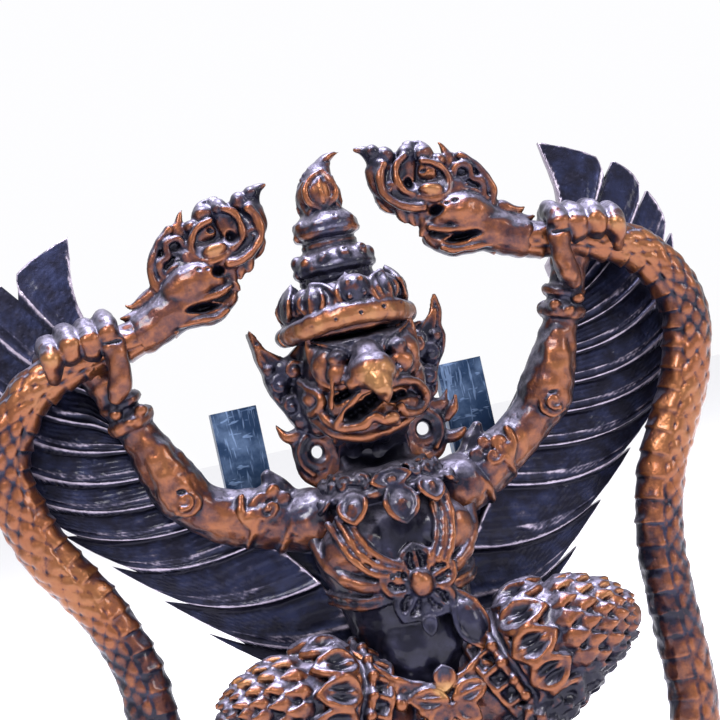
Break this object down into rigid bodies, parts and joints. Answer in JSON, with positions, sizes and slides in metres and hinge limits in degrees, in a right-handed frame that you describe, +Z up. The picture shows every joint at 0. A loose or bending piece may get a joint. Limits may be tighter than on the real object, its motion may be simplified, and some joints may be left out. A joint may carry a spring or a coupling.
{
  "type": "garuda amulet figure",
  "caption": "Small cast garuda grasping two nagas by the neck, standing on a low plinth with two upright strips behind its wings.",
  "frame": {"origin": "centre of the plinth's underside", "axes": "+Z up to the tip of the crown, -Y the way the figure faces, +X to the right of someone who looks at its face"},
  "size_m": [0.0404, 0.0134, 0.044],
  "materials": {
    "bronze": "worn dark copper patina",
    "dark_bronze": "dark patina",
    "dark_steel": "dark, scratched"
  },
  "bodies": {
    "root": {"garuda": "bronze", "plinth": "dark_bronze", "back_strip_left": "dark_steel", "back_strip_right": "dark_steel"}
  },
  "joints": []
}
